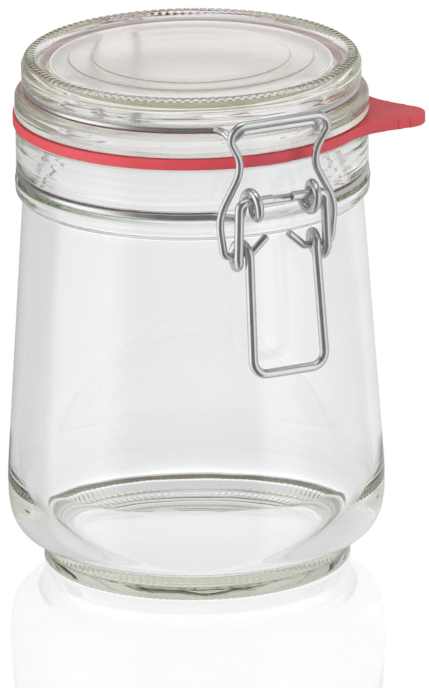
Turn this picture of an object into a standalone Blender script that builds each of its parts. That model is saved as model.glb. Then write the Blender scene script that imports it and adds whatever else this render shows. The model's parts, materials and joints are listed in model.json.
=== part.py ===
"""Airtight preserving jar: glass body and glass lid with a rubber gasket between them.

A steel wire round the neck carries the lid's hinge at the back and the lever clamp at the
front. Metres, +Z up, the clamp faces -Y and the gasket's pull tab points towards +X.
"""

import math

import bmesh
import bpy
from mathutils import Vector

# ---------------------------------------------------------------- driving dimensions, metres

GAP = 0.0003                 # left between a piece and its neighbour

# Glass body, seen from outside
BODY_RADIUS = 0.05785        # widest point, low on the body
SHOULDER_RADIUS = 0.05215    # top of the body, under the bead
BEAD_RADIUS = 0.0542
MOUTH_RADIUS = 0.0538        # thick band round the mouth
RING_RADIUS = 0.0456         # standing ring
RING_INNER_RADIUS = 0.0422
STIPPLE_RADIUS = 0.0460      # narrow ribbed band above the standing ring
RING_HEIGHT = 0.0034
STIPPLE_TOP = 0.0058
HEEL_TOP = 0.026             # where the round heel meets the widest point
BODY_WIDEST_Z = 0.0287
SHOULDER_Z = 0.1155
BEAD_Z = 0.1205
MOUTH_Z = 0.1386             # flat sealing face
PUSH_UP = 0.0016             # hollow under the base

# Glass body, inside
WALL = 0.0033
FLOOR_RADIUS = 0.042
FLOOR_Z = 0.0060
FLOOR_CROWN = 0.0006
MOUTH_BORE = 0.0475
HEEL_CORE = 0.044            # the heel's curve runs outwards from this radius
HEEL_LOW = 0.0055
HEEL_POWER = 2.5             # 2 would be an ellipse, more is squarer

# Glass lid
LID_RADIUS = 0.0518
LID_TOP = 0.160
LID_EDGE = 0.0010
LID_FLANGE_RADIUS = 0.0541
LID_FLANGE_TOP = 0.1484
LID_RIM_INNER = 0.0466       # inner edge of the raised rim
LID_RECESS = 0.0013
STEP_OUTER = 0.0385          # two shallow concentric steps in the lid's top
STEP_INNER = 0.0310
STEP_DEPTH = 0.0006
LID_THICKNESS = 0.0058
PLUG_RADIUS = 0.0446
PLUG_BORE = 0.0420
PLUG_BOTTOM = 0.1368

# Rubber gasket with its pull tab
GASKET_RADIUS = 0.0546
GASKET_BORE = 0.0470
GASKET_THICKNESS = 0.0033
TAB_REACH = 0.0712
TAB_TIP_RADIUS = 0.0070
TAB_TAPER = math.radians(31)
TAB_ROOT_ANGLE = math.radians(24)
TAB_ROOT_END = 0.0590        # where the root's curve meets the straight side
TAB_DIRECTION = math.radians(-31)

# Wires: radius of the wire, and the radius and height of each ring's centre line
LID_WIRE = 0.0012
LID_RING_RADIUS = 0.0502
LID_RING_Z = 0.1504
NECK_WIRE = 0.0013
NECK_RING_RADIUS = 0.0526
NECK_RING_Z = 0.1247
BAIL_WIRE = 0.0012
LEVER_WIRE = 0.00145

# Nose of the lid wire: the bar in front that the bail presses on
NOSE_OUT = 0.0580            # "out" is the distance from the jar's axis, towards -Y in front
NOSE_Z = 0.1516
NOSE_HALF = 0.0119
ELBOW_X = 0.0142             # the nose's arms dip at an elbow on their way to the ring
ELBOW_OUT = 0.0564
ELBOW_Z = 0.1490

# Hinge at the back: the lid wire curls round the neck wire's bar
HINGE_OUT = 0.0602
HINGE_Z = 0.127
HINGE_HALF = 0.0124
CURL_RADIUS = 0.00295
CURL_X = 0.0075

# Lever pivot: two stubs in the neck wire's eyes
PIVOT_OUT = 0.0610
PIVOT_Z = 0.1302
STUB_END = 0.0031
EYE_RADIUS = 0.0041
EYE_DROP = 0.0010            # the stub sits this much above the eye's centre
EYE_INNER_X = 0.0081
EYE_PITCH = 0.0030
EYE_BAR_DROP = 0.0006

# Lever: a U with one coil in each leg, which turns on the bail's rods
COIL_OUT = 0.0575
COIL_Z = 0.1131
COIL_RADIUS = 0.0036
COIL_PITCH = 0.0037
LEG_X = 0.0112
FOOT_X = 0.0121
FOOT_OUT = 0.0649
FOOT_Z = 0.0769
FOOT_CORNER = 0.0045
LINK_LEAN = 0.0006           # the links lean inwards a little
LINK_CORNER = 0.0022

# Bail: the hourglass loop from the coils up to the nose
BAIL_TOP_OUT = 0.06015
BAIL_TOP_Z = 0.1543
BAIL_TOP_HALF = 0.0135
BAIL_CORNER_X = 0.0168
BAIL_CORNER_DROP = 0.0036
BAIL_WAIST_X = 0.0119
BAIL_WAIST_Z = 0.1408
BAIL_WIDE_X = 0.0192
BAIL_WIDE_Z = 0.1255
BAIL_FOOT_X = 0.0179
ROD_BEND_X = 0.0088
ROD_TIP_X = 0.0036
ROD_TIP_RISE = 0.0047

# How finely round shapes are cut
TURNED_SIDES = 52
RING_STEP = math.radians(7.0)
COIL_STEP = math.radians(22.5)
BEND_STEP = math.radians(24.0)

# The origin is under the middle of the whole object, so the jar's axis stands beside it
TAB_FAR_X = (TAB_REACH - TAB_TIP_RADIUS) * math.cos(TAB_DIRECTION) + TAB_TIP_RADIUS
AXIS_X = (BODY_RADIUS - TAB_FAR_X) / 2
AXIS_Y = (FOOT_OUT + LEVER_WIRE - HINGE_OUT - CURL_RADIUS - LID_WIRE) / 2


# ---------------------------------------------------------------- materials

def principled(name, colour, roughness, metallic=0.0, transmission=0.0, ior=1.5):
    """A Principled material; colour is linear red, green and blue."""
    material = bpy.data.materials.new(name)
    material.use_nodes = True
    shader = material.node_tree.nodes["Principled BSDF"]
    shader.inputs["Base Color"].default_value = (*colour, 1.0)
    shader.inputs["Roughness"].default_value = roughness
    shader.inputs["Metallic"].default_value = metallic
    shader.inputs["Transmission Weight"].default_value = transmission
    shader.inputs["IOR"].default_value = ior
    material.diffuse_color = (*colour, 1.0)
    return material


# ---------------------------------------------------------------- outlines and paths

def arc(centre, radius, start, end, steps):
    """Points of a circular arc in a plane, from start to end in degrees."""
    points = []
    for step in range(steps + 1):
        angle = math.radians(start + (end - start) * step / steps)
        points.append((centre[0] + radius * math.cos(angle), centre[1] + radius * math.sin(angle)))
    return points


def squarish_heel(core, edge, low, top, steps):
    """A superellipse quarter from (core, low) out to (edge, top), as (radius, height)."""
    points = []
    for step in range(steps + 1):
        angle = math.pi / 2 * (1 - step / steps)
        power = 2 / HEEL_POWER
        radius = core + (edge - core) * math.cos(angle) ** power
        height = top - (top - low) * math.sin(angle) ** power
        points.append((radius, height))
    return points


def front(x, out, z):
    """A point on the jar's front side."""
    return Vector((x, -out, z))


def back(x, out, z):
    """A point on the jar's back side."""
    return Vector((x, out, z))


def ring_arc(radius, height, start, end):
    """Points round the jar's axis; angles run from the front (-Y) towards +X, in radians."""
    steps = max(1, round((end - start) / RING_STEP))
    points = []
    for step in range(steps + 1):
        angle = start + (end - start) * step / steps
        points.append(Vector((radius * math.sin(angle), -radius * math.cos(angle), height)))
    return points


def turn_about_x(place, out, z, radius, start, end, x_start, x_end):
    """A turn of wire about an axis along X; angles in degrees from straight outwards."""
    steps = max(1, round(math.radians(abs(end - start)) / COIL_STEP))
    points = []
    for step in range(steps + 1):
        share = step / steps
        angle = math.radians(start + (end - start) * share)
        x = x_start + (x_end - x_start) * share
        points.append(place(x, out + radius * math.cos(angle), z + radius * math.sin(angle)))
    return points


def bent(corners):
    """A path through corners given as (point, bend radius), each bend a true arc."""
    path = [corners[0][0]]
    for index in range(1, len(corners) - 1):
        point, radius = corners[index]
        before = (corners[index - 1][0] - point).normalized()
        after = (corners[index + 1][0] - point).normalized()
        half_angle = before.angle(after) / 2
        reach = radius / math.tan(half_angle)
        centre = point + (before + after).normalized() * (radius / math.sin(half_angle))
        first = point + before * reach - centre
        last = point + after * reach - centre
        swept = math.pi - 2 * half_angle
        steps = max(1, round(swept / BEND_STEP))
        for step in range(steps + 1):
            share = step / steps
            weight_first = math.sin((1 - share) * swept)
            weight_last = math.sin(share * swept)
            path.append(centre + (first * weight_first + last * weight_last) / math.sin(swept))
    path.append(corners[-1][0])
    return path


def mirrored(path):
    """The same path on the other side of the middle plane, run the other way."""
    return [Vector((-point.x, point.y, point.z)) for point in reversed(path)]


def both_sides(half):
    """A whole path from the half that starts in the middle plane at x = 0."""
    return mirrored(half)[:-1] + half


# ---------------------------------------------------------------- solids

def place_piece(piece, material, pivot_empty):
    """Give a piece its material and hang it on its joint's empty, or on the jar's axis."""
    piece.data.materials.append(material)
    bpy.context.collection.objects.link(piece)
    piece.parent = pivot_empty
    return piece


def turned(name, profile, material, parent, pivot):
    """A solid of revolution about the jar's axis; the profile starts and ends on the axis."""
    mesh = bpy.data.meshes.new(name)
    work = bmesh.new()
    corners = [work.verts.new((radius, 0.0, height)) for radius, height in profile]
    edges = [work.edges.new(pair) for pair in zip(corners, corners[1:])]
    bmesh.ops.spin(
        work, geom=corners + edges, axis=(0, 0, 1), cent=(0, 0, 0),
        angle=2 * math.pi, steps=TURNED_SIDES, use_merge=True,
    )
    bmesh.ops.remove_doubles(work, verts=work.verts, dist=1e-6)
    bmesh.ops.recalc_face_normals(work, faces=work.faces)
    bmesh.ops.translate(work, verts=work.verts, vec=-pivot)
    work.to_mesh(mesh)
    work.free()
    mesh.shade_smooth()
    mesh.set_sharp_from_angle(angle=math.radians(40))
    return place_piece(bpy.data.objects.new(name, mesh), material, parent)


def wire(name, path, radius, material, parent, pivot, closed=False):
    """A round wire along a path, with flat cut ends unless it is closed."""
    curve = bpy.data.curves.new(name, "CURVE")
    curve.dimensions = "3D"
    curve.bevel_depth = radius
    curve.bevel_resolution = 2
    curve.use_fill_caps = True
    spline = curve.splines.new("POLY")
    spline.points.add(len(path) - 1)
    for spline_point, point in zip(spline.points, path):
        spline_point.co = (*(point - pivot), 1.0)
    spline.use_cyclic_u = closed
    spline.use_smooth = True
    return place_piece(bpy.data.objects.new(name, curve), material, parent)


def empty_at(name, point, parent=None):
    """An empty that marks the jar's axis or a joint's axis."""
    marker = bpy.data.objects.new(name, None)
    marker.empty_display_size = 0.01
    marker.location = point
    marker.parent = parent
    bpy.context.collection.objects.link(marker)
    return marker


# ---------------------------------------------------------------- sub-parts

def jar_outside():
    """The body's outside, from the axis under the base up to the sealing face."""
    groove = NECK_WIRE + GAP
    groove_centre = (NECK_RING_RADIUS, NECK_RING_Z)
    band_foot = NECK_RING_Z + groove + 0.0007
    profile = [
        (0.0, PUSH_UP), (RING_INNER_RADIUS - 0.0030, PUSH_UP * 0.7),
        (RING_INNER_RADIUS, 0.0), (RING_RADIUS - 0.0008, 0.0),
        (RING_RADIUS, 0.0008), (RING_RADIUS, RING_HEIGHT),
        (RING_RADIUS - 0.0004, RING_HEIGHT + 0.0004), (STIPPLE_RADIUS, RING_HEIGHT + 0.0010),
        (STIPPLE_RADIUS, STIPPLE_TOP),
    ]
    heel = squarish_heel(HEEL_CORE, BODY_RADIUS, HEEL_LOW, HEEL_TOP, 9)
    profile += [point for point in heel if point[0] > STIPPLE_RADIUS + 0.0003]
    profile += [
        (BODY_RADIUS - 0.0001, BODY_WIDEST_Z + 0.003),
        (SHOULDER_RADIUS, SHOULDER_Z - 0.0035), (SHOULDER_RADIUS, SHOULDER_Z),
        (BEAD_RADIUS - 0.0012, SHOULDER_Z + 0.0015), (BEAD_RADIUS - 0.0003, BEAD_Z - 0.0017),
        (BEAD_RADIUS, BEAD_Z), (BEAD_RADIUS - 0.0002, NECK_RING_Z - groove - 0.0005),
    ]
    profile += [
        (radius, height) for radius, height in arc(groove_centre, groove, -65, -295, 5)
    ]
    profile += [
        (MOUTH_RADIUS, band_foot), (MOUTH_RADIUS, MOUTH_Z - 0.0009), (MOUTH_RADIUS - 0.0009, MOUTH_Z),
    ]
    return profile


def jar_inside():
    """The body's inside, from the mouth down to the axis on the floor."""
    top_bore = SHOULDER_RADIUS - WALL
    heel = squarish_heel(FLOOR_RADIUS - 0.004, BODY_RADIUS - WALL, FLOOR_Z, HEEL_TOP + 0.002, 7)
    return [
        (MOUTH_BORE + 0.0012, MOUTH_Z), (MOUTH_BORE, MOUTH_Z - 0.0012),
        (MOUTH_BORE, BEAD_Z + 0.005), (top_bore, BEAD_Z - 0.004),
        (top_bore, SHOULDER_Z - 0.004), *reversed(heel), (0.0, FLOOR_Z + FLOOR_CROWN),
    ]


def lid_profile():
    """The lid's section, from the axis on its top, round the rim, to the axis underneath."""
    recess = LID_TOP - LID_RECESS
    groove = LID_WIRE + GAP
    under = LID_TOP - LID_RECESS - LID_THICKNESS
    flange_under = MOUTH_Z + GAP + GASKET_THICKNESS + GAP
    profile = [
        (0.0, recess + 0.0003), (STEP_INNER - 0.0007, recess),
        (STEP_INNER + 0.0003, recess - STEP_DEPTH), (STEP_OUTER - 0.0003, recess - STEP_DEPTH),
        (STEP_OUTER + 0.0007, recess), (LID_RIM_INNER - 0.0012, recess),
        (LID_RIM_INNER, LID_TOP), (LID_RADIUS - LID_EDGE, LID_TOP),
        (LID_RADIUS - 0.3 * LID_EDGE, LID_TOP - 0.3 * LID_EDGE), (LID_RADIUS, LID_TOP - LID_EDGE),
        (LID_RADIUS, LID_RING_Z + groove + 0.0006),
    ]
    profile += arc((LID_RING_RADIUS, LID_RING_Z), groove, 62, 298, 5)
    profile += [
        (LID_RADIUS + 0.0006, LID_FLANGE_TOP + 0.0003), (LID_FLANGE_RADIUS - 0.0005, LID_FLANGE_TOP),
        (LID_FLANGE_RADIUS, LID_FLANGE_TOP - 0.0015), (LID_FLANGE_RADIUS, flange_under + 0.0004),
        (LID_FLANGE_RADIUS - 0.0004, flange_under), (PLUG_RADIUS + 0.0004, flange_under),
        (PLUG_RADIUS, PLUG_BOTTOM + 0.0005), (PLUG_RADIUS - 0.0008, PLUG_BOTTOM),
        (PLUG_BORE + 0.0005, PLUG_BOTTOM), (PLUG_BORE, PLUG_BOTTOM + 0.0008),
        (PLUG_BORE - 0.0010, under - 0.0045), (PLUG_BORE - 0.0045, under), (0.0, under),
    ]
    return profile


def tab_outline():
    """Half of the pull tab in plan, to its tip, as (distance along the tab, distance aside)."""
    root_cosine, root_sine = math.cos(TAB_ROOT_ANGLE), math.sin(TAB_ROOT_ANGLE)
    root = Vector((GASKET_RADIUS * root_cosine, GASKET_RADIUS * root_sine))
    tip_centre = (TAB_REACH - TAB_TIP_RADIUS, 0)
    tip = arc(tip_centre, TAB_TIP_RADIUS, 90 - math.degrees(TAB_TAPER), 0, 4)
    slope = math.tan(TAB_TAPER)
    elbow = Vector((TAB_ROOT_END, tip[0][1] + slope * (tip[0][0] - TAB_ROOT_END)))
    # The root's curve leaves the ring along its tangent and meets the side along the side
    across = (elbow.y - root.y + slope * (elbow.x - root.x)) / (slope * root_sine - root_cosine)
    corner = root + across * Vector((root_sine, -root_cosine))
    points = []
    steps = 5
    for step in range(1, steps + 1):
        share = step / steps
        point = root.lerp(corner, share).lerp(corner.lerp(elbow, share), share)
        points.append((point.x, point.y))
    return points + tip


def make_gasket(material, parent, pivot):
    """A flat ring with the tab, as four loops of points joined by quads."""
    half_tab = tab_outline()
    whole_tab = [(along, -aside) for along, aside in half_tab] + half_tab[-2::-1]
    outline = []
    ring_steps = TURNED_SIDES - 6
    for step in range(ring_steps + 1):
        angle = TAB_ROOT_ANGLE + (2 * math.pi - 2 * TAB_ROOT_ANGLE) * step / ring_steps
        outline.append((GASKET_RADIUS * math.cos(angle), GASKET_RADIUS * math.sin(angle)))
    outline += whole_tab
    low = MOUTH_Z + GAP
    high = low + GASKET_THICKNESS
    cosine, sine = math.cos(TAB_DIRECTION), math.sin(TAB_DIRECTION)
    work = bmesh.new()
    loops = []
    for on_bore, height in ((False, low), (False, high), (True, high), (True, low)):
        loop = []
        for along, aside in outline:
            scale = GASKET_BORE / math.hypot(along, aside) if on_bore else 1.0
            x = (along * cosine - aside * sine) * scale
            y = (along * sine + aside * cosine) * scale
            loop.append(work.verts.new(Vector((x, y, height)) - pivot))
        loops.append(loop)
    count = len(outline)
    for loop, next_loop in zip(loops, loops[1:] + loops[:1]):
        for index in range(count):
            after = (index + 1) % count
            work.faces.new((loop[index], loop[after], next_loop[after], next_loop[index]))
    bmesh.ops.recalc_face_normals(work, faces=work.faces)
    mesh = bpy.data.meshes.new("gasket")
    work.to_mesh(mesh)
    work.free()
    mesh.shade_smooth()
    mesh.set_sharp_from_angle(angle=math.radians(40))
    return place_piece(bpy.data.objects.new("gasket", mesh), material, parent)


def lid_wire_path():
    """From the nose's middle, round the lid's groove, to the curl on the hinge bar."""
    start = math.radians(23)
    end = math.pi - math.radians(15)
    nose = bent([
        (front(0, NOSE_OUT, NOSE_Z), 0), (front(NOSE_HALF, NOSE_OUT, NOSE_Z), 0.0016),
        (front(ELBOW_X, ELBOW_OUT, ELBOW_Z), 0.0014),
        (front(0.0150, 0.0530, LID_RING_Z), 0.0014), (front(0.0156, 0.0482, LID_RING_Z), 0.0020),
        (ring_arc(LID_RING_RADIUS, LID_RING_Z, start, math.pi)[0], 0),
    ])
    ring = ring_arc(LID_RING_RADIUS, LID_RING_Z, start, end)
    riser_out = HINGE_OUT - CURL_RADIUS
    riser = bent([
        (ring[-1], 0), (back(0.0083, 0.0500, LID_RING_Z), 0.0018),
        (back(CURL_X, riser_out, LID_RING_Z), 0.0030), (back(CURL_X, riser_out, HINGE_Z), 0),
    ])
    curl = turn_about_x(back, HINGE_OUT, HINGE_Z, CURL_RADIUS, 180, 450, CURL_X, CURL_X)
    return both_sides(nose[:-1] + ring + riser[1:-1] + curl)


def neck_wire_path():
    """Closed path: bar between the eyes, an eye, round the neck, and half the hinge bar."""
    eye_z = PIVOT_Z - EYE_DROP
    eye_back = PIVOT_OUT - EYE_RADIUS
    eye_outer_x = EYE_INNER_X + EYE_PITCH
    start = math.radians(20)
    end = math.pi - math.radians(17)
    eye = turn_about_x(
        front, PIVOT_OUT, eye_z, EYE_RADIUS, 225, 540, EYE_INNER_X + 0.0004, eye_outer_x,
    )
    bar = bent([
        (front(0, eye_back, eye_z - EYE_BAR_DROP), 0),
        (front(EYE_INNER_X, eye_back, eye_z - EYE_BAR_DROP), 0.0010),
        (eye[0], 0),
    ])
    ring = ring_arc(NECK_RING_RADIUS, NECK_RING_Z, start, end)
    leave = bent([
        (eye[-1], 0), (front(eye_outer_x + 0.0004, eye_back - 0.0006, NECK_RING_Z), 0.0024),
        (ring[0], 0),
    ])
    hinge = bent([
        (ring[-1], 0), (back(0.0136, 0.0535, NECK_RING_Z), 0.0030),
        (back(HINGE_HALF, HINGE_OUT, HINGE_Z), 0.0024), (back(0, HINGE_OUT, HINGE_Z), 0),
    ])
    half = bar[:-1] + eye + leave[1:-1] + ring + hinge[1:]
    return mirrored(half)[1:-1] + half


def lever_path():
    """From the middle of the lever's foot up a leg, round the coil and up to the stub."""
    link_x = LEG_X + COIL_PITCH
    leg = bent([
        (front(0, FOOT_OUT, FOOT_Z), 0), (front(FOOT_X, FOOT_OUT, FOOT_Z), FOOT_CORNER),
        (front(LEG_X, COIL_OUT + COIL_RADIUS, COIL_Z), 0),
    ])
    coil = turn_about_x(front, COIL_OUT, COIL_Z, COIL_RADIUS, 0, 360, LEG_X, link_x)
    link = bent([
        (coil[-1], 0), (front(link_x - LINK_LEAN, PIVOT_OUT, PIVOT_Z), LINK_CORNER),
        (front(STUB_END, PIVOT_OUT, PIVOT_Z), 0),
    ])
    return both_sides(leg[:-1] + coil + link[1:])


def bail_path():
    """From the middle of the top bar down the waisted side to the rod in the coil."""
    return both_sides(bent([
        (front(0, BAIL_TOP_OUT, BAIL_TOP_Z), 0),
        (front(BAIL_TOP_HALF, BAIL_TOP_OUT, BAIL_TOP_Z), 0.0020),
        (front(BAIL_CORNER_X, BAIL_TOP_OUT - 0.0006, BAIL_TOP_Z - BAIL_CORNER_DROP), 0.0028),
        (front(BAIL_WAIST_X, COIL_OUT + 0.0005, BAIL_WAIST_Z), 0.0040),
        (front(BAIL_WIDE_X, COIL_OUT - 0.0003, BAIL_WIDE_Z), 0.0060),
        (front(BAIL_FOOT_X, COIL_OUT, COIL_Z), 0.0020),
        (front(ROD_BEND_X, COIL_OUT, COIL_Z), 0.0016),
        (front(ROD_TIP_X, COIL_OUT, COIL_Z + ROD_TIP_RISE), 0),
    ]))


def build():
    """Make every sub-part and hang it on the empty that it turns about."""
    for old in list(bpy.data.objects):
        bpy.data.objects.remove(old, do_unlink=True)

    glass = principled("clear_glass", (0.90, 0.94, 0.92), 0.02, transmission=1.0)
    rubber = principled("red_rubber", (0.60, 0.05, 0.06), 0.55)
    steel = principled("galvanised_wire", (0.60, 0.62, 0.63), 0.32, metallic=1.0)

    middle = Vector((0, 0, 0))
    hinge_pivot = back(0, HINGE_OUT, HINGE_Z)
    lever_pivot = front(0, PIVOT_OUT, PIVOT_Z)
    bail_pivot = front(0, COIL_OUT, COIL_Z)
    axis = empty_at("jar_axis", (AXIS_X, AXIS_Y, 0))
    lid_joint = empty_at("lid_joint", hinge_pivot, axis)
    lever_joint = empty_at("lever_joint", lever_pivot, axis)
    bail_joint = empty_at("bail_joint", bail_pivot - lever_pivot, lever_joint)

    turned("glass_jar", jar_outside() + jar_inside(), glass, axis, middle)
    turned("glass_lid", lid_profile(), glass, lid_joint, hinge_pivot)
    make_gasket(rubber, lid_joint, hinge_pivot)
    wire("lid_wire", lid_wire_path(), LID_WIRE, steel, lid_joint, hinge_pivot)
    wire("neck_wire", neck_wire_path(), NECK_WIRE, steel, axis, middle, closed=True)
    wire("lever_wire", lever_path(), LEVER_WIRE, steel, lever_joint, lever_pivot)
    wire("bail_wire", bail_path(), BAIL_WIRE, steel, bail_joint, bail_pivot)


build()
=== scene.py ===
# %% [markdown]
# # A clip-top preserving jar in clear glass
# The jar is a pressed glass body with a loose glass lid. A red rubber ring seals the two, and
# a clamp of bent steel wire pulls them together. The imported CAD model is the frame: it says
# where each part sits and what it turns about. Each part is then made again here with the
# round edges, ribs and finish of the real thing, and rides on the body that the CAD part
# belongs to.

# %% Load the frame
import json
import math

import bpy
import numpy as np
from mathutils import Matrix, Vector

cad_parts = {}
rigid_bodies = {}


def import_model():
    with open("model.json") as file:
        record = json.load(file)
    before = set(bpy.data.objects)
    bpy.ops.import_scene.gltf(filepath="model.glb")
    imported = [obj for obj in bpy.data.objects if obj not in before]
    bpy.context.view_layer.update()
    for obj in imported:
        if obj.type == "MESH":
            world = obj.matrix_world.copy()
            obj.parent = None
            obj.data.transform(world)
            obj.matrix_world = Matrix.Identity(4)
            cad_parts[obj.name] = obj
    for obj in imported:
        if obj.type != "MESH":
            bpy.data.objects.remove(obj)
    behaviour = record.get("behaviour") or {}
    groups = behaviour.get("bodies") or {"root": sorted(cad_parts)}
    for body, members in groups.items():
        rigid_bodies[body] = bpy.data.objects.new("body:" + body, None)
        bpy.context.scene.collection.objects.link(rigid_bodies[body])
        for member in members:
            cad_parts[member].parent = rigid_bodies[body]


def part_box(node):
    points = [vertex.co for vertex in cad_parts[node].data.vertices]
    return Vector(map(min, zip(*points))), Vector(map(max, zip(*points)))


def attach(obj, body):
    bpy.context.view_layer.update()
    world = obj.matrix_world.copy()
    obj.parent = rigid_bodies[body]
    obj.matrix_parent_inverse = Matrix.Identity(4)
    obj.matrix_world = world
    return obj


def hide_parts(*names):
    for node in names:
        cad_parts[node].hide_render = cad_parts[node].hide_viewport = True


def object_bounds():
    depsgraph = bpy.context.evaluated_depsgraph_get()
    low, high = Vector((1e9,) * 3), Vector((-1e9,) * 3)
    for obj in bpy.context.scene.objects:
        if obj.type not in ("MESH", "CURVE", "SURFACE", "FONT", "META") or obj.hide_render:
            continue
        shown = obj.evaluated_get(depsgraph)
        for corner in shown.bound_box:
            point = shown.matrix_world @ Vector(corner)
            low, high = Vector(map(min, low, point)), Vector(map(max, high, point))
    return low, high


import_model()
cad_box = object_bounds()
low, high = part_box("glass_lid")
AXIS = np.array([(low.x + high.x) / 2, (low.y + high.y) / 2, 0.0])
MM = 0.001
box_mm = (np.array([list(corner) for corner in cad_box]) / MM).round(1)
print("jar axis at", (AXIS / MM).round(2), "mm, CAD box", box_mm.tolist(), "mm")

# %% [markdown]
# ## Rounded outlines and wire paths
# A section of pressed glass and the run of a bent wire are the same kind of line: straight
# runs joined by round bends. So one function serves both. It could be a Bezier curve with
# handles, but a list of corners, each with its bend radius, is how a mould maker or a wire
# bender writes it down, and it keeps every straight run straight.

# %% Bends
def unit(vector):
    """The vector over its own length."""
    return vector / np.linalg.norm(vector)


def bent(corners, step=math.radians(15)):
    """Points of a line through corners given as (coordinates..., bend radius).

    At a corner the two runs meet at an angle 2h. The bend's centre lies on their bisector at
    radius / sin(h), and the arc sweeps pi - 2h. A point on it is the centre plus the mix
    (first sin((1-t)s) + last sin(ts)) / sin(s) of the arc's two end rays, t from 0 to 1."""
    points = np.array([corner[:-1] for corner in corners], float)
    runs = [points[:1]]
    for before, point, after, corner in zip(points, points[1:], points[2:], corners[1:-1]):
        radius = corner[-1]
        if radius == 0:
            runs.append(point[None])
            continue
        back_ray, on_ray = unit(before - point), unit(after - point)
        half = np.arccos(np.clip(back_ray @ on_ray, -1, 1)) / 2
        swept = np.pi - 2 * half
        centre = point + unit(back_ray + on_ray) * radius / np.sin(half)
        reach = radius / np.tan(half)
        first, last = point + back_ray * reach - centre, point + on_ray * reach - centre
        t = np.linspace(0, 1, max(2, int(np.ceil(swept / step)) + 1))[:, None]
        mix = first * np.sin((1 - t) * swept) + last * np.sin(t * swept)
        runs.append(centre + mix / np.sin(swept))
    runs.append(points[-1:])
    return np.vstack(runs)


print("a right angle with a 2 mm bend has", len(bent([(0, 0, 0), (5, 0, 2), (5, 5, 0)])), "points")

# %% Arcs and long runs
def arc(centre, radius, start, end, count):
    """Points centre + radius (cos a, sin a), with the angle a from start to end in degrees."""
    a = np.radians(np.linspace(start, end, count))
    return np.stack([centre[0] + radius * np.cos(a), centre[1] + radius * np.sin(a)], -1)


def filled(line, longest):
    """The line with its long runs split, so that no run is longer than the given length."""
    pieces = []
    for start, end in zip(line, line[1:]):
        count = max(1, int(np.ceil(np.linalg.norm(end - start) / longest)))
        pieces.append(start + (end - start) * np.arange(count)[:, None] / count)
    return np.vstack(pieces + [line[-1:]])


print("a 9 mm run split at 2 mm has", len(filled(np.array([[0.0, 0.0], [9.0, 0.0]]), 2.0)) - 1, "runs")

# %% [markdown]
# ## Meshes from grids
# A turned part and a wire are both a grid of points: one direction runs along the outline or
# the path, the other goes round. Grid points are worked out as whole arrays, and the faces
# join each point to its neighbours. The last column joins the first, so there is no seam.

# %% Grid meshes
def grid_quads(rows, columns, wrap_rows=False):
    """Corner numbers of the quads of a grid whose columns join up all the way round."""
    index = np.arange(rows * columns).reshape(rows, columns)
    if wrap_rows:
        index = np.vstack([index, index[:1]])
    across = np.roll(index, -1, axis=1)
    return np.stack([index[:-1], across[:-1], across[1:], index[1:]], -1).reshape(-1, 4)


def put_mesh(name, points, faces, sharp=40.0):
    """A mesh object at the origin, smooth but for edges sharper than the given degrees."""
    mesh = bpy.data.meshes.new(name)
    mesh.from_pydata(points, [], faces)
    mesh.update()
    mesh.shade_smooth()
    mesh.set_sharp_from_angle(angle=math.radians(sharp))
    made = bpy.data.objects.new(name, mesh)
    bpy.context.collection.objects.link(made)
    triangles = sum(len(face) - 2 for face in faces)
    print(name, len(points), "points,", triangles, "triangles")
    return made


print("a 3 by 4 grid has", len(grid_quads(3, 4)), "quads")

# %% [markdown]
# ## Volume
# The volume of a closed mesh tells two things: how much glass or rubber a part holds, and
# whether its faces look outwards, because it comes out negative if they look inwards.

# %% Volume of a mesh
CM3 = 1e-6


def volume_of(made):
    """Signed volume: the sum over triangles of a . (b x c) / 6, positive if faces look outwards."""
    made.data.calc_loop_triangles()
    corners = np.zeros(len(made.data.loop_triangles) * 3, np.int32)
    made.data.loop_triangles.foreach_get("vertices", corners)
    points = np.zeros(len(made.data.vertices) * 3, np.float32)
    made.data.vertices.foreach_get("co", points)
    a, b, c = points.reshape(-1, 3).astype(float)[corners.reshape(-1, 3)].transpose(1, 0, 2)
    return float(np.einsum("ij,ij->i", a, np.cross(b, c)).sum() / 6)


print("volumes are worked out in cubic metres, and", CM3, "of one is a cubic centimetre")

# %% [markdown]
# ## Turned parts
# A lathe (the Screw modifier) would turn an outline about the axis, but then ribs would need a
# second mesh, and glass inside glass shows an edge. Here one grid holds both: the ribs press
# its points in along the outline's normal. Each end is closed by a single point on the axis.

# %% Turned mesh with ribs
def units(rows):
    """Each row over its own length."""
    return rows / np.linalg.norm(rows, axis=1, keepdims=True)


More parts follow.
